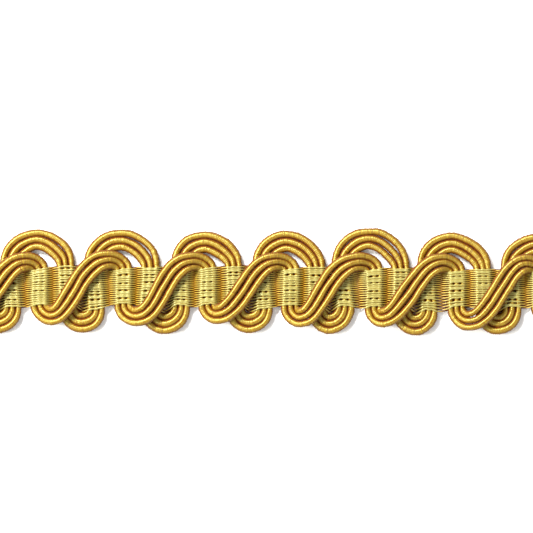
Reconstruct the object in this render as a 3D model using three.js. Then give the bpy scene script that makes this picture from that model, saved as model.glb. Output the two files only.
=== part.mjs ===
// A gimp braid trim: a narrow woven band that binds two groups of three wrapped cords.
// The scroll cords go down inside the band, turn below it, rise slantwise over its face, turn above
// it and dive in again. The meander cords stay in the band's plane, with a big loop above it and a
// small loop below it. The trim lies along X, face up, with its back on z = 0.

import * as THREE from "three";

// Driving dimensions, in millimetres.
const REPEAT = 12.7; // from one scroll to the next, two to the inch
const REPEATS = 8;
const HALF_LENGTH = (REPEAT * REPEATS) / 2;
const CORD_THICKNESS = 0.77; // slimmer than the 1.07 of the soft cord, so that neighbours stand clear
const LOOSE_PITCH = 1.05; // from cord to cord where they lie free
const PACKED_PITCH = 0.92; // from cord to cord where the band binds them
const TUNNEL_HEIGHT = 1.07; // of the room for the cords inside the band
const BAND_WALL = 0.25;
const BAND_THICKNESS = TUNNEL_HEIGHT + 2 * BAND_WALL;
const WEB_THICKNESS = 0.54; // where face and back of the band are woven into one
const MID_HEIGHT = BAND_THICKNESS / 2;
const OVER_HEIGHT = 2.2; // of the scroll cords' middle where they ride over the face

// The regular figure. x runs from the start of a repeat and y from the middle of the trim's width.
// A repeat has three columns, where the band covers the cords: a is the scroll's way down, b is the
// meander's way down and c its way up, and the last two lean a little.
const FIGURE = {
  a: 2.13,
  bTop: 6.11,
  bFoot: 6.22,
  cFoot: 10.75,
  cTop: 10.22,
  loopTopX: 1.55,
  loopTopY: 6.27,
  loopFootX: 8.37,
  loopFootY: -6.24,
  window: 0.36, // roundness of the inner cord on the loop's right side, where 0.55 is an ellipse's
  shoulder: 0.5, // and of the outer cord
  scrollTopX: 0,
  scrollTopY: 3.16,
  scrollFootX: 3.8,
  scrollFootY: -5.32,
  leanFoot: 3.25, // how far the slanting run of a scroll keeps the heading of the turn below it
  leanTop: 4.05, // and of the turn above it
  edgeTopDip: 1.45, // the band's upper edge at the start of a repeat, under the scroll's turn
  edgeTopA: 2.13,
  edgeTopB: 2.43,
  edgeTopC: 2.3,
  edgeFootNotch: -3.95, // the lower edge at the start of a repeat
  edgeFootA: -3.5,
  edgeFootRise: -3.25, // the lower edge between columns a and b, under the scroll's turn
  edgeFootC: -3.95,
};

// How far the repeats stray from the regular figure, to the right and up. Both ends of the trim are
// regular, so that lengths can be laid end to end.
const COLUMN_STRAYS = table("a bTop bFoot cFoot cTop", [
  [0, 0, 0, 0, 0],
  [0.05, 0, 0.15, 0, 0.05],
  [0.1, 0.25, -0.15, 0.3, 0.65],
  [0.25, 0.2, 0.25, 0.15, 0.25],
  [0.1, 0.1, 0, -0.15, -0.3],
  [0.15, 0.15, 0.1, -0.15, -0.1],
  [0, 0, 0, -0.15, 0.05],
]);
const LOOP_STRAYS = table("loopTopX loopTopY loopFootX loopFootY window shoulder", [
  [0, 0, 0, 0, 0, 0],
  [0.1, 0.1, 0.15, 0.1, 0.08, 0.07],
  [0.3, 0.15, 0.1, -0.1, 0, 0.07],
  [0.35, -0.15, 0.15, 0.1, -0.08, 0],
  [0.1, -0.05, -0.15, -0.15, 0, 0],
  [-0.05, 0.4, 0, -0.25, -0.08, 0.04],
  [-0.15, -0.4, 0.15, -0.2, 0, 0],
  [0.3, -0.5, 0, 0, 0, 0],
]);
const SCROLL_STRAYS = table("scrollTopX scrollTopY scrollFootX scrollFootY leanFoot leanTop", [
  [0, 0, 0, 0, 0, 0],
  [0.15, 0, 0.2, 0.3, -0.55, 0.15],
  [0.05, 0.25, 0.3, 0.15, 0.45, 0.4],
  [0.15, 0.05, -0.1, 0.4, 0.25, -0.3],
  [0, 0, -0.1, -0.15, -0.25, 0.85],
  [0.1, -0.05, -0.4, -0.05, 0, -0.1],
  [0.1, -0.25, 0.15, -0.6, 0.1, -0.9],
  [0.15, -0.4, 0, 0, 0, 0],
]);
const TOP_EDGE_STRAYS = table("edgeTopDip edgeTopA edgeTopB edgeTopC", [
  [0, 0, 0, 0],
  [-0.15, -0.15, 0.25, 0.1],
  [0, 0.1, -0.1, 0],
  [0, 0, 0.25, 0.1],
  [0, 0.1, -0.15, -0.1],
  [-0.1, -0.1, -0.15, -0.2],
  [-0.2, -0.3, -0.45, -0.4],
  [-0.4, -0.2, 0, 0],
]);
const FOOT_EDGE_STRAYS = table("edgeFootNotch edgeFootA edgeFootRise edgeFootC", [
  [0, 0, 0, 0],
  [0, 0.15, 0.1, -0.25],
  [0.3, 0.1, 0.05, 0.25],
  [0, 0.1, 0.15, -0.25],
  [0.15, -0.15, -0.1, 0.15],
  [-0.15, -0.3, -0.15, -0.4],
  [-0.75, -0.4, -0.3, 0],
  [-0.15, 0, 0, 0],
]);
const STRAYS = [COLUMN_STRAYS, LOOP_STRAYS, SCROLL_STRAYS, TOP_EDGE_STRAYS, FOOT_EDGE_STRAYS];

// How the three cords of a group share its turns, from the group's middle cord.
const SCROLL_FOOT_PITCH = 1;
const SCROLL_FOOT_STAGGER = 0.08;
const SCROLL_TOP_PITCH = 0.95;
const SCROLL_TOP_STAGGER = 0.15;
const SCROLL_LEAN_STAGGER = 0.9;
const LEFT_WINDOW = 0.44; // roundness of the inner cord on a loop's left side
const LEFT_SHOULDER = 0.59; // and of the outer cord

// The stretch of a slanting run, as shares of it, that lies at its full height over the face.
const UP_AT = 0.12;
const DOWN_AT = 0.88;
const DIVE_DEPTH = 0.4; // how far inside the band's upper edge the turn ends

const TURN_STEPS = 4;
const LOOP_TOP_STEPS = 5;
const SLANT_STEPS = 6;
const CORD_SIDES = 6;

const GOLD = 0xc39a34;
const PALE_GOLD = 0xd9cf82;

function table(names, rows) {
  const keys = names.split(" ");
  return rows.map((row) => Object.fromEntries(keys.map((key, i) => [key, row[i]])));
}

// Every place of one repeat in the trim's own frame: the regular figure with that repeat's strays.
function placesOf(repeat) {
  const start = repeat * REPEAT - HALF_LENGTH;
  const strays = Object.assign({}, ...STRAYS.map((rows) => rows[repeat]));
  const place = (key) => FIGURE[key] + (strays[key] ?? 0);
  const across = (key) => start + place(key);
  const spot = (key) => new THREE.Vector2(across(key + "X"), place(key + "Y"));
  return {
    start,
    a: across("a"),
    bTop: across("bTop"),
    bFoot: across("bFoot"),
    cFoot: across("cFoot"),
    cTop: across("cTop"),
    loopTop: spot("loopTop"),
    loopFoot: spot("loopFoot"),
    scrollTop: spot("scrollTop"),
    scrollFoot: spot("scrollFoot"),
    window: place("window"),
    shoulder: place("shoulder"),
    leanFoot: place("leanFoot"),
    leanTop: place("leanTop"),
    edgeTopDip: place("edgeTopDip"),
    edgeTopA: place("edgeTopA"),
    edgeTopB: place("edgeTopB"),
    edgeTopC: place("edgeTopC"),
    edgeFootNotch: place("edgeFootNotch"),
    edgeFootA: place("edgeFootA"),
    edgeFootRise: place("edgeFootRise"),
    edgeFootC: place("edgeFootC"),
  };
}

// A quarter of an ellipse from one place to another, without its first point. It leaves upright, or
// else level, and arrives the other way.
function quarterTurn(from, to, leavesUpright, steps) {
  const points = [];
  for (let step = 1; step <= steps; step++) {
    const angle = ((step / steps) * Math.PI) / 2;
    const early = Math.sin(angle);
    const late = 1 - Math.cos(angle);
    const x = THREE.MathUtils.lerp(from.x, to.x, leavesUpright ? late : early);
    const y = THREE.MathUtils.lerp(from.y, to.y, leavesUpright ? early : late);
    points.push(new THREE.Vector2(x, y));
  }
  return points;
}

// Stations at heights that ease from one level to another along the way that the points make.
function rampOver(points, fromHeight, toHeight) {
  const reached = [0];
  points.slice(1).forEach((point, i) => reached.push(reached[i] + point.distanceTo(points[i])));
  const whole = reached[reached.length - 1];
  return points.map((point, i) => {
    const eased = THREE.MathUtils.smoothstep(reached[i], 0, whole);
    return new THREE.Vector3(point.x, point.y, THREE.MathUtils.lerp(fromHeight, toHeight, eased));
  });
}

function levelAt(points, height) {
  return points.map((point) => new THREE.Vector3(point.x, point.y, height));
}

// side is 1 for the cord on the left of column a, 0 for the middle one and -1 for the right one.
// The left cord is the outer one of the turn below the band and the inner one of the turn above it.
function scrollStations(side) {
  const stations = [];
  for (let repeat = -1; repeat < REPEATS; repeat++) {
    const here = placesOf(repeat);
    const next = placesOf(repeat + 1);
    const columnFoot = new THREE.Vector2(here.a - side * PACKED_PITCH, here.edgeFootA);
    const nextColumnTop = new THREE.Vector2(next.a - side * PACKED_PITCH, next.edgeTopA - DIVE_DEPTH);
    const foot = here.scrollFoot.clone();
    foot.x += side * SCROLL_FOOT_STAGGER;
    foot.y -= side * SCROLL_FOOT_PITCH;
    const top = next.scrollTop.clone();
    top.x += side * SCROLL_TOP_STAGGER;
    top.y -= side * SCROLL_TOP_PITCH;
    const slant = new THREE.CubicBezierCurve(
      foot,
      new THREE.Vector2(foot.x + here.leanFoot + side * SCROLL_LEAN_STAGGER, foot.y),
      new THREE.Vector2(top.x - here.leanTop + side * SCROLL_LEAN_STAGGER, top.y),
      top,
    );
    const climb = [...quarterTurn(columnFoot, foot, true, TURN_STEPS), slant.getPoint(UP_AT)];
    const across = [];
    for (let step = 1; step < SLANT_STEPS; step++) {
      across.push(slant.getPoint(THREE.MathUtils.lerp(UP_AT, DOWN_AT, step / SLANT_STEPS)));
    }
    const dive = [slant.getPoint(DOWN_AT), top, ...quarterTurn(top, nextColumnTop, false, TURN_STEPS)];
    const inside = dive.pop();
    stations.push(...levelAt([columnFoot], MID_HEIGHT));
    stations.push(...rampOver(climb, MID_HEIGHT, OVER_HEIGHT));
    stations.push(...levelAt(across, OVER_HEIGHT));
    stations.push(...rampOver(dive, OVER_HEIGHT, MID_HEIGHT));
    stations.push(...levelAt([inside], MID_HEIGHT));
  }
  return stations;
}

// One side of a loop above the band, from its column up, without both ends.
function loopSide(columnTop, top, roundness) {
  const { lerp } = THREE.MathUtils;
  const curve = new THREE.CubicBezierCurve(
    columnTop,
    new THREE.Vector2(columnTop.x, lerp(columnTop.y, top.y, roundness)),
    new THREE.Vector2(lerp(top.x, columnTop.x, roundness), top.y),
    top,
  );
  const points = [];
  for (let step = 1; step < LOOP_TOP_STEPS; step++) {
    points.push(curve.getPoint(step / LOOP_TOP_STEPS));
  }
  return points;
}

// side is 1 for the outer cord of the loop above the band, which is the inner one of the loop below.
function meanderStations(side) {
  const points = [];
  for (let repeat = -1; repeat < REPEATS; repeat++) {
    const here = placesOf(repeat);
    const next = placesOf(repeat + 1);
    const bTop = new THREE.Vector2(here.bTop + side * PACKED_PITCH, here.edgeTopB);
    const bFoot = new THREE.Vector2(here.bFoot + side * PACKED_PITCH, here.edgeFootA);
    const foot = here.loopFoot.clone();
    foot.y += side * LOOSE_PITCH;
    const cFoot = new THREE.Vector2(here.cFoot - side * PACKED_PITCH, here.edgeFootC);
    const cTop = new THREE.Vector2(here.cTop - side * PACKED_PITCH, here.edgeTopC);
    const top = next.loopTop.clone();
    top.y += side * LOOSE_PITCH;
    const nextBTop = new THREE.Vector2(next.bTop + side * PACKED_PITCH, next.edgeTopB);
    points.push(bTop, bFoot);
    points.push(...quarterTurn(bFoot, foot, true, TURN_STEPS));
    points.push(...quarterTurn(foot, cFoot, false, TURN_STEPS));
    const outwards = (side + 1) / 2;
    const left = THREE.MathUtils.lerp(LEFT_WINDOW, LEFT_SHOULDER, outwards);
    const right = THREE.MathUtils.lerp(next.window, next.shoulder, outwards);
    points.push(cTop);
    points.push(...loopSide(cTop, top, left), top);
    points.push(...loopSide(nextBTop, top, right).reverse());
  }
  return levelAt(points, MID_HEIGHT);
}

// The stations from one cut end of the trim to the other, with one exactly in each cut and none
// close beside it.
function cutToLength(stations) {
  const crossing = (cut) => {
    const after = stations.findIndex((station, i) => i > 0 && station.x > cut && stations[i - 1].x <= cut);
    const from = stations[after - 1];
    const to = stations[after];
    return { after, point: from.clone().lerp(to, (cut - from.x) / (to.x - from.x)) };
  };
  const first = crossing(-HALF_LENGTH);
  const last = crossing(HALF_LENGTH);
  const clearOfCuts = (station) => Math.abs(station.x) < HALF_LENGTH - CORD_THICKNESS / 2;
  return [first.point, ...stations.slice(first.after, last.after).filter(clearOfCuts), last.point];
}

// A smooth curve with one section of the sweep on each station, so that a tight turn gets short
// steps and a straight run long ones.
class StationCurve extends THREE.CatmullRomCurve3 {
  getUtoTmapping(u) {
    return u;
  }
}

// A closed cord swept along its stations, whose ends lie flat in the trim's cuts.
function cordGeometry(stations) {
  const section = new THREE.Shape();
  for (let corner = 0; corner < CORD_SIDES; corner++) {
    const angle = (2 * Math.PI * corner) / CORD_SIDES;
    const x = (Math.cos(angle) * CORD_THICKNESS) / 2;
    const y = (Math.sin(angle) * CORD_THICKNESS) / 2;
    if (corner === 0) section.moveTo(x, y);
    else section.lineTo(x, y);
  }
  const geometry = new THREE.ExtrudeGeometry(section, {
    steps: stations.length - 1,
    extrudePath: new StationCurve(stations),
  });
  const position = geometry.getAttribute("position");
  const nearCut = CORD_THICKNESS / 4;
  for (let i = 0; i < position.count; i++) {
    const x = position.getX(i);
    if (Math.abs(x) > HALF_LENGTH - nearCut) position.setX(i, Math.sign(x) * HALF_LENGTH);
  }
  return geometry;
}

// The columns from left to right, with the middle of each at the band's upper and lower edge.
function bandColumns() {
  const columns = [];
  for (let repeat = 0; repeat < REPEATS; repeat++) {
    const { a, bTop, bFoot, cTop, cFoot } = placesOf(repeat);
    columns.push({ top: a, foot: a }, { top: bTop, foot: bFoot }, { top: cTop, foot: cFoot });
  }
  return columns;
}

// The band's upper and lower edge as corners from left to right.
function bandEdges() {
  const edges = { top: [], foot: [] };
  for (let repeat = 0; repeat <= REPEATS; repeat++) {
    const here = placesOf(repeat);
    edges.top.push([here.start, here.edgeTopDip]);
    edges.top.push([here.a - 1.5 * PACKED_PITCH, here.edgeTopDip]);
    edges.top.push([here.a, here.edgeTopA]);
    edges.top.push([here.bTop, here.edgeTopB]);
    edges.top.push([here.cTop, here.edgeTopC]);
    edges.foot.push([here.start, here.edgeFootNotch]);
    edges.foot.push([here.a, here.edgeFootA]);
    edges.foot.push([(here.a + here.bFoot) / 2, here.edgeFootRise]);
    edges.foot.push([here.cFoot, here.edgeFootC]);
  }
  return edges;
}

function heightOn(edge, x) {
  const after = edge.findIndex((corner, i) => i > 0 && corner[0] >= x);
  const [fromX, fromY] = edge[after - 1];
  const [toX, toY] = edge[after];
  return THREE.MathUtils.mapLinear(x, fromX, toX, fromY, toY);
}

// The band: a strip with a row of flat tunnels for the cords, ribbed alike on face and back. It is
// drawn as a section with evenly spaced columns and then spread over the real ones.
function bandGeometry() {
  const columns = bandColumns();
  const spacing = 4 * PACKED_PITCH;
  const tunnelRadius = TUNNEL_HEIGHT / 2;
  const ribRadius = BAND_THICKNESS / 2;
  const webAngle = Math.asin(WEB_THICKNESS / 2 / ribRadius);
  const end = (columns.length - 0.5) * spacing;
  const outline = new THREE.Shape();
  outline.moveTo(-spacing / 2, WEB_THICKNESS / 2);
  outline.lineTo(-spacing / 2, -WEB_THICKNESS / 2);
  columns.forEach((_, i) => {
    outline.absarc(i * spacing - PACKED_PITCH, 0, ribRadius, Math.PI + webAngle, 1.5 * Math.PI);
    outline.absarc(i * spacing + PACKED_PITCH, 0, ribRadius, -Math.PI / 2, -webAngle);
  });
  outline.lineTo(end, -WEB_THICKNESS / 2);
  outline.lineTo(end, WEB_THICKNESS / 2);
  for (let i = columns.length - 1; i >= 0; i--) {
    outline.absarc(i * spacing + PACKED_PITCH, 0, ribRadius, webAngle, Math.PI / 2);
    outline.absarc(i * spacing - PACKED_PITCH, 0, ribRadius, Math.PI / 2, Math.PI - webAngle);
  }
  outline.holes = columns.map((_, i) => {
    const tunnel = new THREE.Path();
    tunnel.absarc(i * spacing + PACKED_PITCH, 0, tunnelRadius, -Math.PI / 2, Math.PI / 2);
    tunnel.absarc(i * spacing - PACKED_PITCH, 0, tunnelRadius, Math.PI / 2, 1.5 * Math.PI);
    return tunnel;
  });
  const geometry = new THREE.ExtrudeGeometry(outline, { depth: 1, bevelEnabled: false, curveSegments: 2 });
  spreadOverColumns(geometry, columns, spacing);
  return geometry;
}

// Moves each point of the drawn section, whose depth runs from the upper edge (0) to the lower (1),
// to its place in the trim. A rib keeps its width, and the webs between ribs take up the unevenness.
function spreadOverColumns(geometry, columns, spacing) {
  const edges = bandEdges();
  const ribHalf = PACKED_PITCH + BAND_THICKNESS / 2;
  const last = columns.length - 1;
  const position = geometry.getAttribute("position");
  for (let i = 0; i < position.count; i++) {
    const edge = position.getZ(i) === 0 ? "top" : "foot";
    const nearest = THREE.MathUtils.clamp(Math.round(position.getX(i) / spacing), 0, last);
    const offset = position.getX(i) - nearest * spacing;
    const isEnd = Math.abs(offset) > ribHalf;
    const x = isEnd ? Math.sign(offset) * HALF_LENGTH : columns[nearest][edge] + offset;
    position.setXYZ(i, x, heightOn(edges[edge], x), position.getY(i) + MID_HEIGHT);
  }
}

function pieceOf(name, geometry, color) {
  geometry.deleteAttribute("uv");
  geometry.computeVertexNormals();
  const material = new THREE.MeshStandardMaterial({ color, roughness: 0.45, metalness: 0 });
  const mesh = new THREE.Mesh(geometry, material);
  mesh.name = name;
  return mesh;
}

const trim = new THREE.Group();
trim.add(pieceOf("woven_band", bandGeometry(), PALE_GOLD));
[1, 0, -1].forEach((side, i) => {
  const scroll = cutToLength(scrollStations(side));
  const meander = cutToLength(meanderStations(side));
  trim.add(pieceOf(`scroll_cord_${i + 1}`, cordGeometry(scroll), GOLD));
  trim.add(pieceOf(`meander_cord_${i + 1}`, cordGeometry(meander), GOLD));
});

export default trim;
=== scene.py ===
# %% [markdown]
# # A gimp braid trim
#
# Gimp is the flat braid that hides tacks and seams on chairs, curtains and lampshades. Two groups
# of three thick wrapped cords run to and fro across this one, and a narrow band of fine satin
# threads is woven over and under them. The lesson sweeps every cord and every thread of the band
# along its own way through the weave, so that the gaps, ribs and shadows come by themselves.
#
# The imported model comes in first. Its solids say where each piece lies: the trim along X, its
# width along Y, its face towards +Z and its back on z = 0. Each piece made here stands for one.

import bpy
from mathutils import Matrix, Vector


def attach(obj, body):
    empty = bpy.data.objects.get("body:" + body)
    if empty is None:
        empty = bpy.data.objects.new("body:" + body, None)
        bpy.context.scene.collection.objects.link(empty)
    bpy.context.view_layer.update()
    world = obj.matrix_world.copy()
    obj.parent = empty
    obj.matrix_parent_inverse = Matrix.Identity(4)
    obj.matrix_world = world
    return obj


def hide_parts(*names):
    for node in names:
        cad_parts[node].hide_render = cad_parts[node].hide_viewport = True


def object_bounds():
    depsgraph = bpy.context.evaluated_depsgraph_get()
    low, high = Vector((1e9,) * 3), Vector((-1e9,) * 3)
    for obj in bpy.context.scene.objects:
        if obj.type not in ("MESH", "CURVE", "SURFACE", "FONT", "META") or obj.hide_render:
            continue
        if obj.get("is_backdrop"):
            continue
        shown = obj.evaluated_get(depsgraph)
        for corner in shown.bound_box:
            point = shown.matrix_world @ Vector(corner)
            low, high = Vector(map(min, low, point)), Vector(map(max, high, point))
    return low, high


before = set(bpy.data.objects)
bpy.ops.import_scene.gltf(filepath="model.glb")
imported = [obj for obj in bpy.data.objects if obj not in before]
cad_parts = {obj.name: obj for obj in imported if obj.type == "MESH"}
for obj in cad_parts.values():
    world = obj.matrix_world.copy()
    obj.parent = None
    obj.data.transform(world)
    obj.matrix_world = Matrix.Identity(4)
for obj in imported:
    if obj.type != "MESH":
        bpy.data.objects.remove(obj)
packed_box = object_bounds()
print("packed pieces:", ", ".join(sorted(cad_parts)))

# %% Bring in the modules
import math
from types import SimpleNamespace

import bmesh
import bpy
import numpy as np
from mathutils import Matrix, Vector

MM = 0.001  # the lesson thinks in millimetres, and Blender's meshes are in metres

# %% [markdown]
# ## The camera
#
# The photograph looks straight down on the trim, which runs out of the picture on both sides. A
# very long lens does the same here: with a short one the raised cords would lean outwards at both
# ends of the picture. The repeat gives the scale, because a repeat is 83.5 pixels long there.

# %% Camera straight above the face
PHOTO_SIDE = 533  # pixels
REPEAT_IN_PHOTO = 83.5  # pixels
REPEAT = 12.7  # from one scroll to the next, two to the inch
VIEW_SIDE = PHOTO_SIDE / REPEAT_IN_PHOTO * REPEAT
VIEW_MIDDLE = (-1.37, 2.36)  # x and y of the picture's middle on the trim
LENS = 300
SENSOR = 36
FACE_HEIGHT = 1.6  # the level at which the scale holds

camera_data = bpy.data.cameras.new("camera")
camera_data.lens = LENS
camera_data.sensor_width = SENSOR
camera = bpy.data.objects.new("camera", camera_data)
bpy.context.scene.collection.objects.link(camera)
camera_height = FACE_HEIGHT + VIEW_SIDE * LENS / SENSOR
camera.location = Vector((*VIEW_MIDDLE, camera_height)) * MM
bpy.context.scene.camera = camera
print(f"the picture is {VIEW_SIDE:.1f} mm wide, seen from {camera_height:.0f} mm")

# %% [markdown]
# ## The figure
#
# A weaver reads this braid from a short chart: three columns a repeat, where the band covers the
# cords, and a turn of the cords above or below the band between them. The chart here is the same
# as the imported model's. A regular figure comes first, then how far each repeat strays from it,
# because a handsome braid is never quite even.

# %% The regular figure of one repeat
REPEATS = 8
HALF_LENGTH = REPEAT * REPEATS / 2
FIGURE = {
    "a": 2.13,  # the column where the scroll goes down
    "b_top": 6.11,  # where the meander goes down
    "b_foot": 6.22,
    "c_foot": 10.75,  # where the meander comes up
    "c_top": 10.22,
    "loop_top_x": 1.55,
    "loop_top_y": 6.27,
    "loop_foot_x": 8.37,
    "loop_foot_y": -6.24,
    "window": 0.36,  # roundness of the inner cord on the loop's right side, 0.55 as an ellipse
    "shoulder": 0.5,  # and of the outer cord
    "scroll_top_x": 0,
    "scroll_top_y": 3.16,
    "scroll_foot_x": 3.8,
    "scroll_foot_y": -5.32,
    "lean_foot": 3.25,  # how far the slanting run keeps the heading of the turn below it
    "lean_top": 4.05,  # and of the turn above it
    "edge_top_dip": 1.45,  # the band's upper edge under the scroll's turn
    "edge_top_a": 2.13,
    "edge_top_b": 2.43,
    "edge_top_c": 2.3,
    "edge_foot_notch": -3.95,
    "edge_foot_a": -3.5,
    "edge_foot_rise": -3.25,  # the lower edge under the scroll's turn
    "edge_foot_c": -3.95,
}
SHARED_START = "a b_top b_foot c_foot c_top loop_top_x loop_foot_x scroll_top_x scroll_foot_x".split()
print(f"{REPEATS} repeats of {REPEAT} mm make {2 * HALF_LENGTH:.1f} mm")


# %% How the repeats stray, to the right and up
def table(names, rows):
    return [dict(zip(names.split(), row)) for row in rows]


COLUMN_STRAYS = table("a b_top b_foot c_foot c_top", [
    [0, 0, 0, 0, 0],
    [0.05, 0, 0.15, 0, 0.05],
    [0.1, 0.25, -0.15, 0.3, 0.65],
    [0.25, 0.2, 0.25, 0.15, 0.25],
    [0.1, 0.1, 0, -0.15, -0.3],
    [0.15, 0.15, 0.1, -0.15, -0.1],
    [0, 0, 0, -0.15, 0.05],
])
LOOP_STRAYS = table("loop_top_x loop_top_y loop_foot_x loop_foot_y window shoulder", [
    [0, 0, 0, 0, 0, 0],
    [0.1, 0.1, 0.15, 0.1, 0.08, 0.07],
    [0.3, 0.15, 0.1, -0.1, 0, 0.07],
    [0.35, -0.15, 0.15, 0.1, -0.08, 0],
    [0.1, -0.05, -0.15, -0.15, 0, 0],
    [-0.05, 0.4, 0, -0.25, -0.08, 0.04],
    [-0.15, -0.4, 0.15, -0.2, 0, 0],
    [0.3, -0.5, 0, 0, 0, 0],
])
SCROLL_STRAYS = table("scroll_top_x scroll_top_y scroll_foot_x scroll_foot_y lean_foot lean_top", [
    [0, 0, 0, 0, 0, 0],
    [0.15, 0, 0.2, 0.3, -0.55, 0.15],
    [0.05, 0.25, 0.3, 0.15, 0.45, 0.4],
    [0.15, 0.05, -0.1, 0.4, 0.25, -0.3],
    [0, 0, -0.1, -0.15, -0.25, 0.85],
    [0.1, -0.05, -0.4, -0.05, 0, -0.1],
    [0.1, -0.25, 0.15, -0.6, 0.1, -0.9],
    [0.15, -0.4, 0, 0, 0, 0],
])
TOP_EDGE_STRAYS = table("edge_top_dip edge_top_a edge_top_b edge_top_c", [
    [0, 0, 0, 0],
    [-0.15, -0.15, 0.25, 0.1],
    [0, 0.1, -0.1, 0],
    [0, 0, 0.25, 0.1],
    [0, 0.1, -0.15, -0.1],
    [-0.1, -0.1, -0.15, -0.2],
    [-0.2, -0.3, -0.45, -0.4],
    [-0.4, -0.2, 0, 0],
])
FOOT_EDGE_STRAYS = table("edge_foot_notch edge_foot_a edge_foot_rise edge_foot_c", [
    [0, 0, 0, 0],
    [0, 0.15, 0.1, -0.25],
    [0.3, 0.1, 0.05, 0.25],
    [0, 0.1, 0.15, -0.25],
    [0.15, -0.15, -0.1, 0.15],
    [-0.15, -0.3, -0.15, -0.4],
    [-0.75, -0.4, -0.3, 0],
    [-0.15, 0, 0, 0],
])
STRAYS = [COLUMN_STRAYS, LOOP_STRAYS, SCROLL_STRAYS, TOP_EDGE_STRAYS, FOOT_EDGE_STRAYS]


def places_of(repeat):
    """Every place of one repeat in the trim's own frame."""
    start = repeat * REPEAT - HALF_LENGTH
    places = dict(FIGURE)
    for rows in STRAYS:
        if 0 <= repeat < len(rows):
            for name, stray in rows[repeat].items():
                places[name] += stray
    for name in SHARED_START:
        places[name] += start
    return SimpleNamespace(start=start, **places)


print(f"column a of the fifth repeat stands at x = {places_of(4).a:.2f} mm")

# %% [markdown]
# ## The way of a cord
#
# A cord's way is a list of stations, each with a place, a height and the cord's width there. The
# turns are quarters of an ellipse, which leave one heading and arrive at the other, and the slanting
# run of a scroll is one cubic curve with two handles. Blender's own curve objects could hold these
# points, but the wrapping thread and the squeezing under the band would then be out of reach.
#
# A soft cord keeps its section where it is squeezed: under the band it is narrower and higher.

# %% Turns, ramps and stations
PACKED_PITCH = 0.92  # from cord to cord where the band binds them
LOOSE_PITCH = 1.05  # and where they lie free
CORD_DIAMETER = 1.07
LOOSE_WIDTH = 1.1
SCROLL_WIDTH = 1.04
PACKED_WIDTH = 0.94
TURN_STEPS = 4  # stations in a quarter of a turn
MID_HEIGHT = 0.785  # of a cord's middle inside the band and in the loops
OVER_HEIGHT = 2.2  # of the scroll cords' middle where they ride over the face


def mix(start, end, share):
    return start + (end - start) * share


def quarter_turn(start, end, leaves_upright):
    """A quarter of an ellipse without its first point, as rows of x and y."""
    angle = np.arange(1, TURN_STEPS + 1) / TURN_STEPS * math.pi / 2
    early = np.sin(angle)
    late = 1 - np.cos(angle)
    if leaves_upright:
        return np.column_stack([mix(start[0], end[0], late), mix(start[1], end[1], early)])
    return np.column_stack([mix(start[0], end[0], early), mix(start[1], end[1], late)])


def handle_curve(points, share):
    """Places on a cubic curve from its start, two handles and end, as rows of x and y."""
    share = np.atleast_1d(share)[:, None]
    left = 1 - share
    weights = [left**3, 3 * left**2 * share, 3 * left * share**2, share**3]
    return sum(weight * np.array(point) for weight, point in zip(weights, points))


def ease(share):
    return share * share * (3 - 2 * share)


def stations_at(points, height, width):
    """Stations are rows of x, y, z, width and thickness."""
    points = np.atleast_2d(points)
    ones = np.ones(len(points))
    return np.column_stack([points, height * ones, width * ones, CORD_DIAMETER**2 / width * ones])


def stations_over(points, start_height, end_height, width):
    """Stations whose height eases from one level to another along the way that the points make."""
    steps = np.linalg.norm(np.diff(points, axis=0), axis=1)
    reached = np.concatenate([[0], np.cumsum(steps)])
    return stations_at(points, mix(start_height, end_height, ease(reached / reached[-1])), width)


print("a quarter turn:", quarter_turn((0, 0), (1, 2), True).round(2).tolist())

# %% [markdown]
# ## The scroll cords
#
# Three cords lie side by side and make the big S. They come down inside column a, turn below the
# band, rise slantwise over its face, turn above it and dive into the next column a. The cord on
# the left of the column is the outer one of the turn below and the inner one of the turn above.

# %% Stations of a scroll cord
SCROLL_FOOT_PITCH = 1.0  # from cord to cord at the bottom of the turn below
SCROLL_FOOT_STAGGER = 0.08  # how far a cord's bottom lies to the right of its right neighbour's
SCROLL_TOP_PITCH = 0.95  # the same two at the top of the turn above
SCROLL_TOP_STAGGER = 0.15
SCROLL_LEAN_STAGGER = 0.9  # the same sideways step between the handles of the slanting runs
UP_AT = 0.12  # the slanting run lies at full height from this share of it
DOWN_AT = 0.88  # to this one
DIVE_DEPTH = 0.4  # how far inside the band's upper edge the turn ends
SLANT_STEPS = 6  # from station to station between those two


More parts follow.
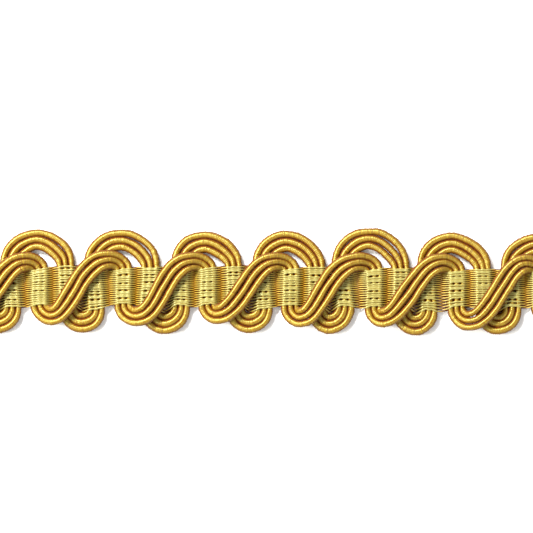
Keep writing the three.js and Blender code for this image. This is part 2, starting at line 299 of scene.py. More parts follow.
def scroll_stations(side):
    """side is 1 for the cord on the left of column a, 0 for the middle one and -1 for the right."""
    stations = []
    for repeat in range(-1, REPEATS):
        here = places_of(repeat)
        after = places_of(repeat + 1)
        column_foot = (here.a - side * PACKED_PITCH, here.edge_foot_a)
        column_top = (after.a - side * PACKED_PITCH, after.edge_top_a - DIVE_DEPTH)
        foot = (
            here.scroll_foot_x + side * SCROLL_FOOT_STAGGER,
            here.scroll_foot_y - side * SCROLL_FOOT_PITCH,
        )
        top = (
            after.scroll_top_x + side * SCROLL_TOP_STAGGER,
            after.scroll_top_y - side * SCROLL_TOP_PITCH,
        )
        leaving = (foot[0] + here.lean_foot + side * SCROLL_LEAN_STAGGER, foot[1])
        arriving = (top[0] - here.lean_top + side * SCROLL_LEAN_STAGGER, top[1])
        slant = [foot, leaving, arriving, top]
        climb = np.vstack([quarter_turn(column_foot, foot, True), handle_curve(slant, UP_AT)])
        across = handle_curve(slant, np.linspace(UP_AT, DOWN_AT, SLANT_STEPS + 1)[1:-1])
        turn_in = quarter_turn(top, column_top, False)[:-1]
        dive = np.vstack([handle_curve(slant, DOWN_AT), top, turn_in])
        stations.append(stations_at(column_foot, MID_HEIGHT, PACKED_WIDTH))
        stations.append(stations_over(climb, MID_HEIGHT, OVER_HEIGHT, SCROLL_WIDTH))
        stations.append(stations_at(across, OVER_HEIGHT, SCROLL_WIDTH))
        stations.append(stations_over(dive, OVER_HEIGHT, MID_HEIGHT, SCROLL_WIDTH))
        stations.append(stations_at(column_top, MID_HEIGHT, PACKED_WIDTH))
    return np.vstack(stations)


print("stations in a scroll cord:", len(scroll_stations(0)))

# %% [markdown]
# ## The meander cords
#
# The other three never leave the plane of the band. They go down inside column b, turn below it,
# come up inside column c and make the big loop above it, which the scroll's turn crosses. That
# loop is no ellipse: its outer cord bulges more than its inner one, and some loops are fuller on
# the right than others, so each side of it is a curve with handles as long as it is round.

# %% Stations of a meander cord
LOOP_TOP_STEPS = 5  # from station to station on one side of the loop
LEFT_ROUNDNESS = (0.44, 0.59)  # of the inner and the outer cord


def loop_side(column_top, top, roundness):
    """One side of a loop from the band up, without its ends."""
    leaving = (column_top[0], mix(column_top[1], top[1], roundness))
    arriving = (mix(top[0], column_top[0], roundness), top[1])
    share = np.arange(1, LOOP_TOP_STEPS) / LOOP_TOP_STEPS
    return handle_curve([column_top, leaving, arriving, top], share)


def meander_stations(side):
    """side is 1 for the outer cord of the loop above the band, the inner one of the loop below."""
    stations = []
    for repeat in range(-1, REPEATS):
        here = places_of(repeat)
        after = places_of(repeat + 1)
        b_top = (here.b_top + side * PACKED_PITCH, here.edge_top_b)
        b_foot = (here.b_foot + side * PACKED_PITCH, here.edge_foot_a)
        foot = (here.loop_foot_x, here.loop_foot_y + side * LOOSE_PITCH)
        c_foot = (here.c_foot - side * PACKED_PITCH, here.edge_foot_c)
        c_top = (here.c_top - side * PACKED_PITCH, here.edge_top_c)
        top = (after.loop_top_x, after.loop_top_y + side * LOOSE_PITCH)
        next_b_top = (after.b_top + side * PACKED_PITCH, after.edge_top_b)
        down = quarter_turn(b_foot, foot, True)
        up = quarter_turn(foot, c_foot, False)[:-1]
        outwards = (side + 1) / 2
        rise = loop_side(c_top, top, mix(*LEFT_ROUNDNESS, outwards))
        fall = loop_side(next_b_top, top, mix(after.window, after.shoulder, outwards))[::-1]
        stations.append(stations_at([b_top, b_foot], MID_HEIGHT, PACKED_WIDTH))
        stations.append(stations_at(np.vstack([down, up]), MID_HEIGHT, LOOSE_WIDTH))
        stations.append(stations_at([c_foot, c_top], MID_HEIGHT, PACKED_WIDTH))
        stations.append(stations_at(np.vstack([rise, top, fall]), MID_HEIGHT, LOOSE_WIDTH))
    return np.vstack(stations)


print("stations in a meander cord:", len(meander_stations(0)))

# %% [markdown]
# ## A smooth line through the stations
#
# The line is a spline that goes through every station. Its pace follows the square root of each
# gap, so that it makes no cusps or little loops where short steps meet long ones. It is then
# walked in even steps, because the wrapping thread needs an even pitch.
#
# A soft cord never lies quite even. Each one wanders a little from its line and swells and thins
# on the way, and the three of a group wander mostly together, so that no gap opens between them.

# %% Walk a smooth line in even steps
FINE_STEPS = 24  # between two stations, before the line is walked


def smooth_line(stations, step):
    """Rows at even steps on the spline through the stations."""
    ends = np.vstack([2 * stations[0] - stations[1], stations, 2 * stations[-1] - stations[-2]])
    pace = np.linalg.norm(np.diff(ends[:, :3], axis=0), axis=1) ** 0.5
    t = np.linspace(0, 1, FINE_STEPS, endpoint=False)[:, None]
    pieces = []
    for i in range(1, len(ends) - 2):
        before, start, end, after = ends[i - 1 : i + 3]
        pace_in, here, pace_out = pace[i - 1 : i + 2]
        chord = (end - start) / here
        leaving = ((start - before) / pace_in - (end - before) / (pace_in + here) + chord) * here
        arriving = (chord - (after - start) / (here + pace_out) + (after - end) / pace_out) * here
        pieces.append(
            mix(start, end, ease(t)) + (t**3 - 2 * t**2 + t) * leaving + (t**3 - t**2) * arriving
        )
    fine = np.vstack([*pieces, stations[-1]])
    lengths = np.linalg.norm(np.diff(fine[:, :3], axis=0), axis=1)
    reached = np.concatenate([[0], np.cumsum(lengths)])
    walked = np.arange(0, reached[-1], step)
    return np.column_stack([np.interp(walked, reached, column) for column in fine.T])


def within_cuts(line, spare):
    """The part of a line that lies between the trim's cut ends, and a little more to cut off."""
    inside = np.flatnonzero(np.abs(line[:, 0]) < HALF_LENGTH + spare)
    return line[inside[0] : inside[-1] + 1]


def evenly_random(chance, rows, smoothing):
    """Random values about 0 that change slowly, over about as many rows as smoothing says."""
    reach = np.arange(-3 * smoothing, 3 * smoothing + 1)
    bell = np.exp(-((reach / smoothing) ** 2) / 2)
    values = np.convolve(chance.normal(size=rows + len(reach) - 1), bell, "valid")
    return values / np.linalg.norm(bell)


def unsteady(line, shared, chance):
    """The same line as a soft cord lies: a little to the left and right, now thicker, now thinner."""
    heading = np.gradient(line[:, :2], axis=0)
    heading /= np.linalg.norm(heading, axis=1)[:, None]
    own = evenly_random(chance, len(line), WOBBLE_ROWS)
    in_group = np.interp(line[:, 0], WOBBLE_PLACES, shared)
    aside = (OWN_WOBBLE * own + GROUP_WOBBLE * in_group)[:, None]
    swelling = 1 + SWELLING * evenly_random(chance, len(line), WOBBLE_ROWS)[:, None]
    moved = line[:, :2] + aside * np.column_stack([-heading[:, 1], heading[:, 0]])
    return np.column_stack([moved, line[:, 2], line[:, 3:5] * swelling])


# %% Lines of the six cords
WRAP_PITCH = 0.27  # from one turn of the wrapping thread to the next
WRAP_ROWS = 4  # rows of the mesh in one turn
CORD_STEP = WRAP_PITCH / WRAP_ROWS
SPARE = 0.8  # of a line beyond the trim's ends, to be cut off
OWN_WOBBLE = 0.024  # of a single cord to its left and right
GROUP_WOBBLE = 0.04  # shared by the three cords of a group, so that no gap opens between them
WOBBLE_PLACES = np.linspace(-HALF_LENGTH, HALF_LENGTH, 240)
GROUP_REACH = 2  # places over which a group keeps to one side
WOBBLE_ROWS = 11  # rows of the line over which a single cord does
SWELLING = 0.035  # of its width
SIDES = (1, 0, -1)
line_chance = np.random.default_rng(5)


def cord_lines(stations_of):
    shared = evenly_random(line_chance, len(WOBBLE_PLACES), GROUP_REACH)
    lines = []
    for side in SIDES:
        line = smooth_line(stations_of(side), CORD_STEP)
        lines.append(within_cuts(unsteady(line, shared, line_chance), SPARE))
    return lines


scroll_lines = cord_lines(scroll_stations)
meander_lines = cord_lines(meander_stations)
cord_groups = {"scroll": scroll_lines, "meander": meander_lines}
for name, lines in cord_groups.items():
    print(name, "cords:", ", ".join(f"{len(line) * CORD_STEP:.0f} mm" for line in lines))

# %% [markdown]
# ## From a line to a tube
#
# Each row of a tube is a small ellipse across the line. On a wrapped cord the rows don't close on
# themselves: one turn further round, a row has gone one pitch along, as the thread on the real
# cord has. The edges of the mesh then run along the thread, and a few rows are enough to raise it.
#
# Every face gets two sets of texture coordinates. "Thread" is for the finish: it counts turns of
# the wrapping along the tube, or rows of the mesh where nothing is wrapped, and parts of its
# girth. The other lays the long tube in strips over a square, so that the finish can also be
# baked into one sharp image.

# %% Sweep one tube
BAKE_MARGIN = 0.004  # of the square, left free at both ends of each strip
STRIP_MARGIN = 0.06  # of a strip's height, left free along both of its sides


def tube(line, sides, turn_rows=0, relief=None, number=0, strips=(1, 0, 1)):
    """Points, faces and both maps of a tube along rows of x, y, z, width and thickness.

    turn_rows is how many rows the thread gains in one turn, relief how far each row stands out,
    number tells tubes apart in one mesh, and strips is how many strips of the square this tube
    takes, how many lie before them and how many there are in all.
    """
    heading = np.gradient(line[:, :3], axis=0)
    heading /= np.linalg.norm(heading, axis=1)[:, None]
    left = np.column_stack([-heading[:, 1], heading[:, 0], np.zeros(len(line))])
    left /= np.linalg.norm(left, axis=1)[:, None]
    over = np.cross(heading, left)
    rows = len(line) - turn_rows
    row, side = np.meshgrid(np.arange(rows), np.arange(sides), indexing="ij")
    along = (row + turn_rows * side / sides).ravel()

    def at(values):
        return np.column_stack([np.interp(along, np.arange(len(line)), v) for v in values.T])

    angle = (2 * math.pi * side / sides - math.pi / 2).ravel()[:, None]
    raised = np.zeros(rows) if relief is None else relief[:rows]
    radius = at(line[:, 3:5]) / 2 + raised[row.ravel()][:, None]
    points = at(line[:, :3]) + at(left) * radius[:, :1] * np.cos(angle)
    points += at(over) * radius[:, 1:] * np.sin(angle)

    row, side = row[:-1].ravel(), side[:-1].ravel()
    last = side == sides - 1
    fits = ~(last & (row + turn_rows + 1 >= rows))
    row, side, last = row[fits], side[fits], last[fits]
    here = row * sides + side
    beside = np.where(last, (row + turn_rows) * sides, here + 1)
    faces = np.column_stack([here, beside, beside + sides, here + sides])

    corner_row = np.column_stack([row, row, row + 1, row + 1])
    corner_side = np.column_stack([side, side + 1, side + 1, side])
    around = corner_side / sides
    along_unit = corner_row / turn_rows if turn_rows else corner_row * 1.0
    thread = np.stack([along_unit, number + around], axis=-1)
    count, before, in_all = strips
    strip_rows = math.ceil(rows / count)
    strip = row // strip_rows
    u = (corner_row - (strip * strip_rows)[:, None]) / strip_rows
    v = (before + strip[:, None] + mix(STRIP_MARGIN, 1 - STRIP_MARGIN, around)) / in_all
    bake = np.stack([mix(BAKE_MARGIN, 1 - BAKE_MARGIN, u), v], axis=-1)
    return SimpleNamespace(points=points, faces=faces, thread=thread, bake=bake)


# %% Join tubes into a piece and cut its ends
def add_map(mesh, name, corners):
    layer = mesh.uv_layers.new(name=name)
    layer.uv.foreach_set("vector", corners.astype(np.float32).ravel())


def cut_ends(mesh, end_slot):
    """Cuts the tubes off square at both ends of the trim and closes them."""
    work = bmesh.new()
    work.from_mesh(mesh)
    for end in (-1, 1):
        everything = [*work.verts, *work.edges, *work.faces]
        cut = bmesh.ops.bisect_plane(
            work,
            geom=everything,
            dist=1e-5,
            plane_co=(end * HALF_LENGTH, 0, 0),
            plane_no=(end, 0, 0),
            clear_outer=True,
        )
        rims = [part for part in cut["geom_cut"] if isinstance(part, bmesh.types.BMEdge)]
        bmesh.ops.edgeloop_fill(work, edges=rims, mat_nr=end_slot)
    work.to_mesh(mesh)
    work.free()


def piece_of(name, tubes, materials):
    """One object from tubes. The last material is for the cut ends."""
    starts = np.cumsum([0, *(len(made.points) for made in tubes)])
    points = np.vstack([made.points for made in tubes])
    faces = np.vstack([made.faces + start for made, start in zip(tubes, starts)])
    mesh = bpy.data.meshes.new(name)
    mesh.from_pydata(points.tolist(), [], faces.tolist())
    add_map(mesh, "Thread", np.concatenate([made.thread for made in tubes]))
    add_map(mesh, "OFBake", np.concatenate([made.bake for made in tubes]))
    mesh.polygons.foreach_set("use_smooth", np.ones(len(faces), bool))
    for material in materials:
        mesh.materials.append(material)
    cut_ends(mesh, len(materials) - 1)
    mesh.transform(Matrix.Scale(MM, 4))
    piece = bpy.data.objects.new(name, mesh)
    bpy.context.scene.collection.objects.link(piece)
    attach(piece, "root")
    triangles = sum(len(face.vertices) - 2 for face in mesh.polygons)
    print(f"{name}: {triangles} triangles")
    return piece


# %% [markdown]
# ## Satin thread
#
# All of this trim is one gold rayon thread, bright and smooth. It looks pale along the line where
# its fibres send the light to the eye and deep red brown in the gaps, where light has bounced
# from gold to gold several times. The shader needs a deep gold, a soft gloss that is drawn out
# across the fibres, and fine streaks along them.
#
# Real threads are also hairy, and the hairs swallow the light in the narrow gaps. Smooth tubes
# don't do that, so the finish paints the shade in: the girth of a tube says where it faces its
# neighbour, and there the gold turns to a matt red brown, a painted shade on the wrapped cords and
# on the warp alike.

# %% Small helpers for node trees
def node(tree, kind, inputs=None, **settings):
    """Adds a shader node, sets it up and links or fills its inputs."""
    made = tree.nodes.new("ShaderNode" + kind)
    for name, value in settings.items():
        setattr(made, name, value)
    for name, value in (inputs or {}).items():
        if isinstance(value, bpy.types.NodeSocket):
            tree.links.new(value, made.inputs[name])
        else:
            made.inputs[name].default_value = value
    return made


def maths(tree, operation, *values):
    made = node(tree, "Math", dict(enumerate(values)), operation=operation)
    return made.outputs[0]


def ramp(tree, value, low, high, start=0.0, end=1.0, kind="LINEAR"):
    """Start up to low, end from high on, and a slope between them."""
    levels = dict(enumerate([value, low, high, start, end]))
    return node(tree, "MapRange", levels, interpolation_type=kind).outputs[0]


def colour_mix(tree, factor, first, second):
    made = tree.nodes.new("ShaderNodeMix")
    made.data_type = "RGBA"
    for name, value in {"Factor_Float": factor, "A_Color": first, "B_Color": second}.items():
        socket = next(s for s in made.inputs if s.identifier == name)
        if isinstance(value, bpy.types.NodeSocket):
            tree.links.new(value, socket)
        else:
            socket.default_value = value
    return next(s for s in made.outputs if s.identifier == "Result_Color")


def empty_material(name):
    material = bpy.data.materials.new(name)
    material.use_nodes = True
    return material, material.node_tree, material.node_tree.nodes["Principled BSDF"]


def fill(surface, values):
    """Sets the surface's own numbers and colours."""
    for name, value in values.items():
        surface.inputs[name].default_value = value


# %% Helpers for the finishes of thread
def thread_place(tree):
    """The map called Thread, and its two parts, along and around the tube."""
    place = node(tree, "UVMap", uv_map="Thread").outputs["UV"]
    parts = node(tree, "SeparateXYZ", {0: place})
    return place, parts.outputs[0], parts.outputs[1]


def fibre_streaks(tree, place, scale):
    stretched = node(tree, "Mapping", {"Vector": place, "Scale": scale})
    inputs = {"Vector": stretched.outputs[0], "Scale": 1.0, "Detail": 3.0}
    return node(tree, "TexNoise", inputs).outputs[0]


def facing_up(tree, girth):
    """1 on the top of a tube, -1 at its bottom and 0 on its flanks."""
    turned = maths(tree, "COSINE", maths(tree, "MULTIPLY", girth, math.tau))
    return maths(tree, "MULTIPLY", turned, -1.0)


def follow_fibres(tree, surface, fibres, strength, depth):
    """Raises the fibres a little and makes the gloss follow them."""
    bump = node(tree, "Bump", {"Height": fibres, "Strength": strength, "Distance": depth * MM})
    tree.links.new(bump.outputs[0], surface.inputs["Normal"])
    tangent = node(tree, "Tangent", direction_type="UV_MAP", uv_map="Thread")
    tree.links.new(tangent.outputs[0], surface.inputs["Tangent"])


# %% The wrapped cord's finish
# the deep gold serves for random tone and for painted shade, the bright gold for lit thread
DEEP_GOLD = (0.17, 0.053, 0.0006, 1)
BRIGHT_GOLD = (0.295, 0.165, 0.003, 1)
# painted shade: the matt red brown where a tube faces its neighbour, also for random streaks
GAP_SHADE_AND_STREAK_BROWN = (0.115, 0.001, 0.0001, 1)
PALE_SHINE = (0.86, 0.94, 0.28, 1)
CORD_FIBRES = (11, 2.5, 1)  # streaks in one turn of the thread across it, and round the cord
SHADE_SPREAD = 2.4  # how much more bright gold the noise gives one stretch of thread than another
SHADE_START = -0.95  # the share of bright gold where the noise is 0
FIBRE_SPREAD = 0.6  # how much more of it one fibre has than another
GROOVE_REACH = 0.28  # of a turn, over which painted shade darkens the gold into a groove
CROWN = (0.7, 0.98)  # facing up by this much, the thread is in painted shade, then fully lit
LIGHT_IN_PAINTED_SHADE = 0.25  # of the bright gold's share on a thread in painted shade
GAP_SHADE_FLANK = (0.63, 0.78)  # facing up by this much, the painted gap shade ends, and the thread's is full
GAP_ROUGHNESS = 1.0
CORD_ROUGHNESS = 0.36


def wrapped_cord_finish():
    material, tree, surface = empty_material("wrapped_gold_cord")
    place, turns, girth = thread_place(tree)
    wound = maths(tree, "ADD", maths(tree, "FLOOR", turns), girth)
    shade = node(tree, "TexNoise", {"W": wound, "Scale": 0.8, "Detail": 2.0}, noise_dimensions="1D")
    fibres = fibre_streaks(tree, place, CORD_FIBRES)
    shifted = maths(tree, "MULTIPLY_ADD", shade.outputs[0], SHADE_SPREAD, SHADE_START)
    streaked = maths(tree, "MULTIPLY_ADD", fibres, FIBRE_SPREAD, shifted)
    # painted shade: the gold turns deep into the grooves between turns and down a cord's flanks
    from_groove = maths(tree, "PINGPONG", turns, 0.5)
    groove = ramp(tree, from_groove, 0.0, GROOVE_REACH, kind="SMOOTHSTEP")
    upness = maths(tree, "ABSOLUTE", facing_up(tree, girth))
    lit = maths(tree, "MULTIPLY", groove, ramp(tree, upness, *CROWN, LIGHT_IN_PAINTED_SHADE))
    light_share = maths(tree, "MULTIPLY", streaked, lit)
    thread_colour_with_painted_shade = colour_mix(tree, light_share, DEEP_GOLD, BRIGHT_GOLD)
    colours = colour_mix(tree, ramp(tree, upness, *GAP_SHADE_FLANK), GAP_SHADE_AND_STREAK_BROWN, thread_colour_with_painted_shade)
    tree.links.new(colours, surface.inputs["Base Color"])
    roughness = ramp(tree, upness, *GAP_SHADE_FLANK, GAP_ROUGHNESS, CORD_ROUGHNESS)
    tree.links.new(roughness, surface.inputs["Roughness"])
    follow_fibres(tree, surface, fibres, strength=0.35, depth=0.02)
    fill(surface, {"IOR": 1.78, "Specular IOR Level": 0.9})
    fill(surface, {"Specular Tint": PALE_SHINE, "Anisotropic": 0.8})
    return material


cord_finish = wrapped_cord_finish()
print("cord finish:", len(cord_finish.node_tree.nodes), "nodes")

# %% [markdown]
# A cut cord shows its core, a bundle of pale cotton ends, inside the wrapping. The trim is cut at
# both ends, so the core needs a finish of its own: matt, with the specks of many fine ends.

# %% The finish of a cut end
CORE_COTTON = (0.75, 0.62, 0.34, 1)
BETWEEN_ENDS = (0.38, 0.24, 0.07, 1)
ENDS_A_METRE = 9000.0


def core_finish():
    material, tree, surface = empty_material("cut_cord_core")
    place = node(tree, "TexCoord").outputs["Object"]
    ends = node(tree, "TexVoronoi", {"Vector": place, "Scale": ENDS_A_METRE})
    speck = ramp(tree, ends.outputs["Distance"], 0.1, 0.7)
    colours = colour_mix(tree, speck, CORE_COTTON, BETWEEN_ENDS)
    tree.links.new(colours, surface.inputs["Base Color"])
    fill(surface, {"Roughness": 0.9})
    return material


core = core_finish()
print("cut end's finish:", len(core.node_tree.nodes), "nodes")

# %% Make the six cords
CORD_SIDES = 16  # of the tube's section
WRAP_RELIEF = (-0.028, 0.005, 0.015, 0.005)  # of the four rows of a turn, from groove to groove
TURN_UNEVENNESS = 0.016  # of single turns of the thread, outwards
BAKE_STRIPS = {"scroll": 8, "meander": 9}  # of the baked image, the longer cord in more of them
wrap_chance = np.random.default_rng(7)


def wrap_relief(rows):
    turns = rows // WRAP_ROWS + 1
    uneven = wrap_chance.normal(0, TURN_UNEVENNESS, turns)
    return (np.tile(WRAP_RELIEF, turns) + np.repeat(uneven, WRAP_ROWS))[:rows]


for kind, lines in cord_groups.items():
    for number, line in enumerate(lines, start=1):
        strips = (BAKE_STRIPS[kind], 0, BAKE_STRIPS[kind])
        made = tube(line, CORD_SIDES, WRAP_ROWS, wrap_relief(len(line)), strips=strips)
        cord = piece_of(f"{kind}_gimp_{number}", [made], [cord_finish, core])
        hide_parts(f"{kind}_cord_{number}")

# %% [markdown]
# ## The band
#
# The band is plain weave with cords for its weft: a warp thread goes over one column of cords and
# under the next, and its neighbour does the opposite. Over a column the threads on the face lie
# side by side and hide the cords. Between two columns they dive and swap places with those from
# the back, and dark slits open between them. The warp comes through the loom's reed in small
# groups, and the wider gap between groups shows as a row of dots over the hollows between cords.
#
# Nothing pulls on the lowest threads where the meander turns below the band. They lie slack
# there and spread down into the hole of the small loop, where the scroll's shadow darkens them.

# %% The band's edges
EDGE_SOFTNESS = 0.5  # how far to each side an edge is averaged
TUCKED_UNDER = 0.35  # how far soft threads reach in under the scroll's turns
SLACK_FROM_CORD = 0.25  # and how near slack ones come to the innermost cord of the loop below
UPPER_LEVEL = 2.35  # the middle threads lie straight, at their share between these two levels
LOWER_LEVEL = -3.8
EDGE_PULL = 3  # how fast the pull of an edge fades towards the middle, as a power
EDGE_SAMPLES = 7  # over that stretch, whose mean makes a corner soft
COLUMN_SIDE = 1.5 * PACKED_PITCH  # from a column's middle to its outer side
COLUMN_CORNER = 1.2 * PACKED_PITCH  # and to where its edge begins to bend


def edge_corners():
    upper, lower = [], []
    for repeat in range(-1, REPEATS + 2):
        here = places_of(repeat)
        dip = here.edge_top_dip + TUCKED_UNDER
        upper.append((here.start, dip))
        upper.append((here.a - COLUMN_SIDE, dip))
        upper.append((here.a, here.edge_top_a))
        upper.append((here.b_top, here.edge_top_b))
        upper.append((here.c_top, here.edge_top_c))
        lower.append((here.start, here.edge_foot_notch))
        lower.append((here.a, here.edge_foot_a))
        lower.append(((here.a + here.b_foot) / 2, here.edge_foot_rise - TUCKED_UNDER))
        lower.append((here.b_foot + COLUMN_CORNER, here.edge_foot_a))
        lower.append((here.loop_foot_x, here.loop_foot_y + LOOSE_PITCH + SLACK_FROM_CORD))
        lower.append((here.c_foot - COLUMN_CORNER, here.edge_foot_c))
        lower.append((here.c_foot, here.edge_foot_c))
    return np.array(upper), np.array(lower)


upper_corners, lower_corners = edge_corners()


def across_band(x, share):
    """The y of a thread that lies at a share of the way from the upper edge to the lower."""
    near = x + np.linspace(-EDGE_SOFTNESS, EDGE_SOFTNESS, EDGE_SAMPLES)
    upper = np.interp(near, *upper_corners.T).mean()
    lower = np.interp(near, *lower_corners.T).mean()
    pull = (upper - UPPER_LEVEL) * (1 - share) ** EDGE_PULL + (lower - LOWER_LEVEL) * share**EDGE_PULL
    return mix(UPPER_LEVEL, LOWER_LEVEL, share) + pull


print(f"the band is {across_band(0, 0) - across_band(0, 1):.2f} mm wide in the middle")

# %% Where the cords lie in a column
COLUMN_KINDS = 3


def column_at(number, share):
    """x of a column's middle at a share of the way down, and its cords' lines from the left."""
    repeat, kind = divmod(number, COLUMN_KINDS)
    here = places_of(repeat)
    if kind == 0:
        return here.a, scroll_lines
    if kind == 1:
        return mix(here.b_top, here.b_foot, share), meander_lines[::-1]
    return mix(here.c_top, here.c_foot, share), meander_lines


def cords_in(number, share):
    """Rows of x, y, z, width and thickness where a thread crosses the three cords of a column."""
    middle, lines = column_at(number, share)
    found = []
    for line, offset in zip(lines, (-PACKED_PITCH, 0, PACKED_PITCH)):
        x = middle + offset
        y = across_band(x, share)
        apart = np.hypot(line[:, 0] - x, line[:, 1] - y)
        nearest = apart.argmin()
        if apart[nearest] < PACKED_PITCH / 2:
            found.append(line[nearest])
        else:
            found.append(stations_at((x, y), MID_HEIGHT, PACKED_WIDTH)[0])
    return found


print("cords in the first column:", np.round(cords_in(0, 0.5), 2).tolist())

# %% How the warp threads bunch and stray
WARP_ENDS = 35
GROUP_ENDS = 7  # warp threads in one dent of the reed
BUNCHING = 0.2  # how far a group draws together over the hollow between two cords
UNEVEN_BUNCHING = 0.4  # of it, from one column to the next
CREST_BUNCHING = 0.3  # of it, over the cords themselves
THREAD_STRAY = 0.3  # how far single threads lie from their place, in threads

weave_chance = np.random.default_rng(7)
columns = REPEATS * COLUMN_KINDS + 2
groups = WARP_ENDS // GROUP_ENDS
bunching = BUNCHING * weave_chance.normal(1, UNEVEN_BUNCHING, (columns, groups))
strays = weave_chance.normal(0, THREAD_STRAY / WARP_ENDS, (columns, WARP_ENDS))
print(f"{WARP_ENDS} warp threads in {groups} groups cross {columns} columns")

# %% The way of a warp thread
FLOAT_WIDTH = 0.3  # of a thread over the cords
HOLLOW_WIDTH = 0.26
FLOAT_THICKNESS = 0.15
DIVE_WIDTHS = (0.27, 0.21, 0.19, 0.23, 0.29)  # from the face down to the back
SAG = 0.05  # over the hollow between two cords


def float_stations(cords, drawn, stray, face):
    """Stations over a column's cords, with a share of the band's width in place of y.

    drawn and stray are shares too, and face is 1 above the cords and -1 below them.
    """
    tops = [(x, z + face * (thickness + FLOAT_THICKNESS) / 2) for x, _, z, _, thickness in cords]
    on_crest = stray + CREST_BUNCHING * drawn
    rows = [[tops[0][0], on_crest, tops[0][1], FLOAT_WIDTH]]
    for (x, top), (next_x, next_top) in zip(tops, tops[1:]):
        rows.append([(x + next_x) / 2, stray + drawn, (top + next_top) / 2 - face * SAG, HOLLOW_WIDTH])
        rows.append([next_x, on_crest, next_top, FLOAT_WIDTH])
    return [[*row, FLOAT_THICKNESS] for row in rows]


def dive_stations(start, end, face):
    """Stations round the last cord of a column and on to the other face at the next column."""
    reach = (start[3] + FLOAT_THICKNESS) / 2
    rise = (start[4] + FLOAT_THICKNESS) / 2
    steepest = math.asin(min(1, 2 * reach / (end[0] - start[0])))
    rows = []
    for angle in (steepest / 2, steepest):
        rows.append([start[0] + reach * math.sin(angle), start[2] + face * rise * math.cos(angle)])
    rows.append([(start[0] + end[0]) / 2, (start[2] + end[2]) / 2])
    for angle in (steepest, steepest / 2):
        rows.append([end[0] - reach * math.sin(angle), end[2] - face * rise * math.cos(angle)])
    widths = DIVE_WIDTHS[::face]
    return [[x, 0, z, width, FLOAT_THICKNESS] for (x, z), width in zip(rows, widths)]


def warp_stations(end):
    """Stations of one warp thread, numbered from the upper edge."""
    share = (end + 0.5) / WARP_ENDS
    from_middle = (end % GROUP_ENDS - (GROUP_ENDS - 1) / 2) / WARP_ENDS
    rows = []
    before = None
    for number in range(-1, REPEATS * COLUMN_KINDS + 1):
        cords = cords_in(number, share)
        face = 1 if (number + end) % 2 else -1
        if before is not None:
            rows += dive_stations(before, cords[0], -face)
        drawn = -from_middle * bunching[number, end // GROUP_ENDS]
        rows += float_stations(cords, drawn, strays[number, end], face)
        before = cords[-1]
    rows = np.array(rows)
    rows[:, 1] = [across_band(x, share + moved) for x, moved in rows[:, :2]]
    return rows


print("stations in a warp thread:", len(warp_stations(0)))

# %% The warp's finish
# painted light: pale sheen painted where the warp lies high and faces up, orange lower down
WARP_ORANGE = (0.65, 0.375, 0.008, 1)
WARP_PAINTED_SHEEN = (0.3, 0.265, 0.07, 1)
WARP_SHINE = (0.8, 0.87, 0.45, 1)
WARP_FIBRES = (0.15, 9, 1)  # streaks from row to row along the thread, and round it
OUT_OF_WEAVE = 0.2  # this far out from the band's middle, the painted gap shade ends
ON_THE_CORDS = 0.6  # and this far out, the thread is fully pale with painted sheen
THREAD_SHADES = 0.2  # how unlike each other single threads are
STREAK_SHADES = 0.5
DARKENING = 0.3  # of the thread by both


def warp_finish():
    material, tree, surface = empty_material("satin_warp_thread")
    place, _, girth = thread_place(tree)
    which = maths(tree, "FLOOR", girth)
    shade = node(tree, "TexWhiteNoise", {"W": which}, noise_dimensions="1D")
    fibres = fibre_streaks(tree, place, WARP_FIBRES)
    height = node(tree, "SeparateXYZ", {0: node(tree, "TexCoord").outputs["Object"]}).outputs[2]
    above = maths(tree, "MULTIPLY_ADD", height, 1 / MM, -MID_HEIGHT)
    outside = maths(tree, "MULTIPLY", above, facing_up(tree, girth))
    # painted sheen and shade by height and facing: pale on crowns, orange lower, red brown deep down
    colours = colour_mix(tree, ramp(tree, outside, 0.0, ON_THE_CORDS), WARP_ORANGE, WARP_PAINTED_SHEEN)
    colours = colour_mix(tree, ramp(tree, outside, 0.0, OUT_OF_WEAVE), GAP_SHADE_AND_STREAK_BROWN, colours)
    uneven = maths(tree, "MULTIPLY", shade.outputs[0], THREAD_SHADES)
    streaked = maths(tree, "MULTIPLY_ADD", fibres, STREAK_SHADES, uneven)
    colours = colour_mix(tree, maths(tree, "MULTIPLY", streaked, DARKENING), colours, GAP_SHADE_AND_STREAK_BROWN)
    tree.links.new(colours, surface.inputs["Base Color"])
    follow_fibres(tree, surface, fibres, strength=0.15, depth=0.01)
    fill(surface, {"Roughness": 0.38, "IOR": 1.7, "Specular IOR Level": 0.9})
    fill(surface, {"Specular Tint": WARP_SHINE, "Anisotropic": 0.6, "Anisotropic Rotation": 0.25})
    return material


thread_finish = warp_finish()
print("warp's finish:", len(thread_finish.node_tree.nodes), "nodes")

# %% Weave the band
WARP_SIDES = 8
WARP_STEP = 0.24  # between the rows of its mesh
WARP_STRIPS = 3

for name, first in {"warp_odd": 0, "warp_even": 1}.items():
    tubes = []
    ends = range(first, WARP_ENDS, 2)
    for number, end in enumerate(ends):
        line = within_cuts(smooth_line(warp_stations(end), WARP_STEP), SPARE)
        strips = (WARP_STRIPS, number * WARP_STRIPS, len(ends) * WARP_STRIPS)
        tubes.append(tube(line, WARP_SIDES, number=number, strips=strips))
    half = piece_of(name, tubes, [thread_finish])
    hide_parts("woven_band")

# %% [markdown]
# ## Floor and light
#
# The picture has a pure white ground and a light from its upper left, which draws one pale line
# along every cord. A long, narrow soft box does that. A weaker one on the left warms the left
# flanks, and a large faint one at the lower right keeps the shadows open.

# %% Floor
FLOOR_SIDE = 3000
FLOOR_WHITE = (0.95, 0.95, 0.94, 1)


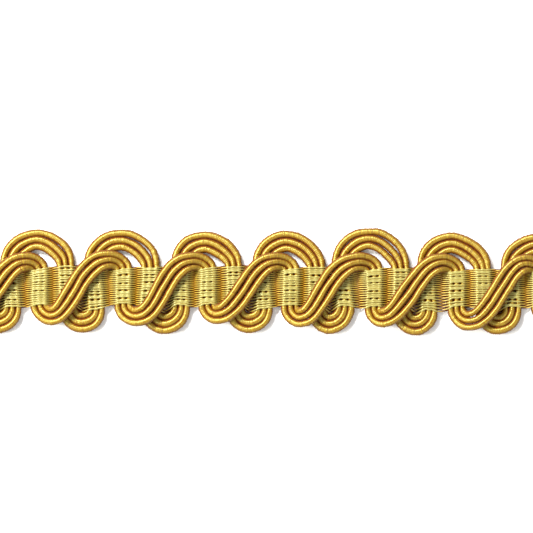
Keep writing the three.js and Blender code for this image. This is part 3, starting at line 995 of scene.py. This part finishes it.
def pale_floor():
    material, _, surface = empty_material("pale_floor")
    fill(surface, {"Base Color": FLOOR_WHITE, "Roughness": 1.0, "Specular IOR Level": 0.0})
    half = FLOOR_SIDE / 2 * MM
    mesh = bpy.data.meshes.new("floor")
    corners = [(-half, -half, 0), (half, -half, 0), (half, half, 0), (-half, half, 0)]
    mesh.from_pydata(corners, [], [(0, 1, 2, 3)])
    mesh.materials.append(material)
    floor = bpy.data.objects.new("floor", mesh)
    bpy.context.scene.collection.objects.link(floor)
    floor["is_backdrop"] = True
    print(f"the floor is {FLOOR_SIDE} mm square")


pale_floor()


# %% Lights
AMBIENT = 0.5  # of the white room around the lamps


def soft_box(name, place, width, height, watts, colour=(1, 1, 1)):
    """A lamp of a width and height in millimetres that faces the trim's middle."""
    data = bpy.data.lights.new(name, "AREA")
    data.shape = "RECTANGLE"
    data.size = width * MM
    data.size_y = height * MM
    data.energy = watts
    data.color = colour
    lamp = bpy.data.objects.new(name, data)
    lamp.location = Vector(place) * MM
    lamp.rotation_euler = (-lamp.location).to_track_quat("-Z", "Y").to_euler()
    lamp.visible_camera = False
    bpy.context.scene.collection.objects.link(lamp)
    print(f"{name}: {width} by {height} mm, {watts} W")


soft_box("key", (-230, 330, 430), 320, 90, 6.6)
soft_box("side", (-440, -20, 360), 150, 300, 3.5, (1.0, 0.97, 0.9))
soft_box("fill", (330, -260, 460), 420, 420, 1.1)

world = bpy.data.worlds.new("studio")
world.use_nodes = True
backdrop = world.node_tree.nodes["Background"]
backdrop.inputs["Color"].default_value = (1, 1, 1, 1)
backdrop.inputs["Strength"].default_value = AMBIENT
bpy.context.scene.world = world
bpy.context.scene.view_settings.view_transform = "Standard"

# %% [markdown]
# ## The sizes
#
# The finished pieces can stand a little proud of the imported solids. Both boxes are printed,
# so that they can be compared.

# %% Print both boxes and finish
made_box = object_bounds()
sizes = {"packed": [list(corner) for corner in packed_box], "made": [list(corner) for corner in made_box]}
for name, (low, high) in sizes.items():
    print(name, "box:", ", ".join(f"{a / MM:.2f} to {b / MM:.2f}" for a, b in zip(low, high)), "mm")
